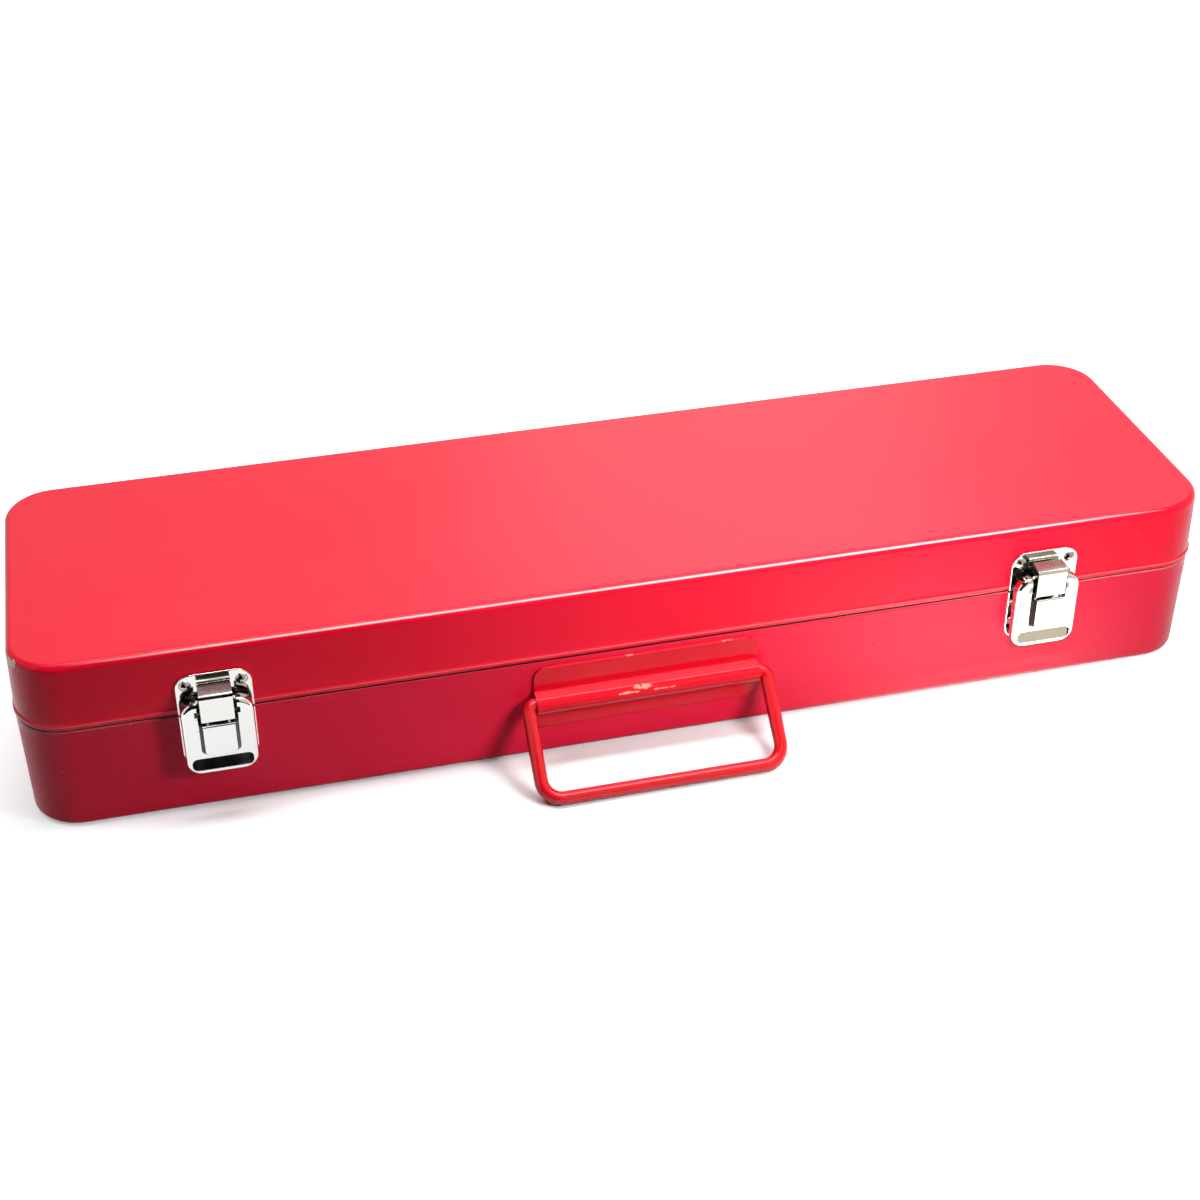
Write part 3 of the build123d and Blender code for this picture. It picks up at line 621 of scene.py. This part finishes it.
room_light = 0.064
world = bpy.data.worlds.new("studio")
bpy.context.scene.world = world
world.use_nodes = True
tree = world.node_tree
tree.nodes.clear()
strength = add(tree, "ShaderNodeMapRange", {
    "Value": looked_at(tree), "To Min": room_light, "To Max": 1.0})
sky = add(tree, "ShaderNodeBackground", {
    "Color": linear("#FFFFFF"), "Strength": strength.outputs[0]})
add(tree, "ShaderNodeOutputWorld", {"Surface": sky.outputs[0]})


def aim(thing, place, target):
    """Puts a lamp or a card at a place, facing its target."""
    thing.location = place
    thing.rotation_mode = "QUATERNION"
    thing.rotation_quaternion = (Vector(target) - Vector(place)).to_track_quat("-Z", "Y")


def softbox(name, place, target, size, watts):
    """A rectangular lamp that the camera doesn't see."""
    light = bpy.data.lights.new(name, "AREA")
    light.shape = "RECTANGLE"
    light.size, light.size_y = size
    light.energy = watts
    lamp = bpy.data.objects.new(name, light)
    bpy.context.scene.collection.objects.link(lamp)
    lamp.visible_camera = False
    aim(lamp, place, target)
    return lamp


key = softbox("key_right", (0.12, -0.275, 0.205), (0.10, -0.065, 0.03), (0.11, 0.11), 1.0)
key.visible_glossy = False
softbox("overhead", (0.06, -0.05, 1.0), (0.06, -0.05, 0), (1.5, 0.18), 10.5)
softbox("back", (0.28, 0.73, 0.54), (0.05, 0, 0.075), (0.4, 0.4), 1.0)


def glowing_felt(name, tone, pile):
    """Felt that gives its own light, so that no lamp has to reach it. The shine gets an even tone,
    mottled a little in patches a sixth of the card across."""
    material, tree = new_material(name)
    place = add(tree, "ShaderNodeTexCoord").outputs["Object"]
    felt = add(tree, "ShaderNodeTexNoise", {"Vector": place, "Scale": 6, "Detail": 2})
    mottle = add(tree, "ShaderNodeMix", {
        0: felt.outputs["Fac"], 6: linear(tone), 7: linear(pile)}, data_type="RGBA")
    glow = add(tree, "ShaderNodeEmission", {"Color": mottle.outputs[2]})
    add(tree, "ShaderNodeOutputMaterial", {"Surface": glow.outputs[0]})
    return material


def stage_card(name, place, target, size, material):
    """A card that only the shine sees."""
    bpy.ops.mesh.primitive_plane_add(size=1)
    card = bpy.context.object
    card.name = name
    card.scale = (size[0], size[1], 1)
    aim(card, place, target)
    card.data.materials.append(material)
    card.visible_camera = False
    card.visible_diffuse = False
    card.visible_shadow = False


# They give the nickel its dark accents on the left and its tan ones on the right.
black_felt = glowing_felt("black_felt", "#050506", "#101012")
tan_felt = glowing_felt("tan_felt", "#F0E4CC", "#DCCEB4")
stage_card("black_wall", (-1.0, -1.3, 0.9), (-1.0, 0, 0.9), (2.2, 1.8), black_felt)
stage_card("black_floor", (-1.0, -0.7, 0.002), (-1.0, -0.7, -1), (2.2, 1.0), black_felt)
stage_card("black_ceiling", (-0.5, -0.1, 0.8), (-0.17, -0.07, 0.06), (0.9, 0.5), black_felt)
stage_card("tan_wall", (1.1, -1.3, 0.9), (1.1, 0, 0.9), (2.0, 1.8), tan_felt)
stage_card("tan_floor", (1.1, -0.7, 0.002), (1.1, -0.7, -1), (2.0, 1.0), tan_felt)

# The key lamp's pool on the paper, much brighter than white, fading out to the card's edges. Only
# the shine sees it, as a soft pink bloom on the front of the base, towards the right.
pool_light, tree = new_material("lamp_pool_on_paper")
from_middle = add(tree, "ShaderNodeTexCoord").outputs["Object"]
reach = add(tree, "ShaderNodeVectorMath", {0: from_middle}, operation="LENGTH").outputs["Value"]
share = add(tree, "ShaderNodeMapRange", {
    "Value": reach, "From Max": 0.5, "To Min": 1, "To Max": 0}, interpolation_type="SMOOTHSTEP")
clear = add(tree, "ShaderNodeBsdfTransparent")
glow = add(tree, "ShaderNodeEmission", {"Color": linear("#FFF6F2"), "Strength": 9})
both = add(tree, "ShaderNodeMixShader", {
    0: share.outputs[0], 1: clear.outputs[0], 2: glow.outputs[0]})
add(tree, "ShaderNodeOutputMaterial", {"Surface": both.outputs[0]})
stage_card("lamp_pool", (0.142, -0.09, 0.0015), (0.142, -0.09, -1), (0.22, 0.14), pool_light)


# ---- Camera ----
# It stands in front of the case, left of its middle and half a metre up, and looks down on the lid
# through a 61 mm lens, rolled by a third of a degree.

eye = Vector((-0.17368, -0.68363, 0.51102))
yaw, pitch, roll = (math.radians(a) for a in (13.7115, 32.1066, -0.315))
ahead = Vector((
    math.sin(yaw) * math.cos(pitch), math.cos(yaw) * math.cos(pitch), -math.sin(pitch)))
level = Vector((math.cos(yaw), -math.sin(yaw), 0))
upright = level.cross(ahead)
right = level * math.cos(roll) + upright * math.sin(roll)
above = upright * math.cos(roll) - level * math.sin(roll)
camera_data = bpy.data.cameras.new("camera")
camera = bpy.data.objects.new("camera", camera_data)
bpy.context.scene.collection.objects.link(camera)
facing = Matrix((right, above, -ahead)).transposed().to_4x4()
camera.matrix_world = Matrix.Translation(eye) @ facing
camera_data.sensor_width = 36
camera_data.lens = 60.73
camera_data.shift_x = 0.0094
camera_data.shift_y = -0.0741
bpy.context.scene.camera = camera
bpy.context.scene.view_settings.view_transform = "Standard"
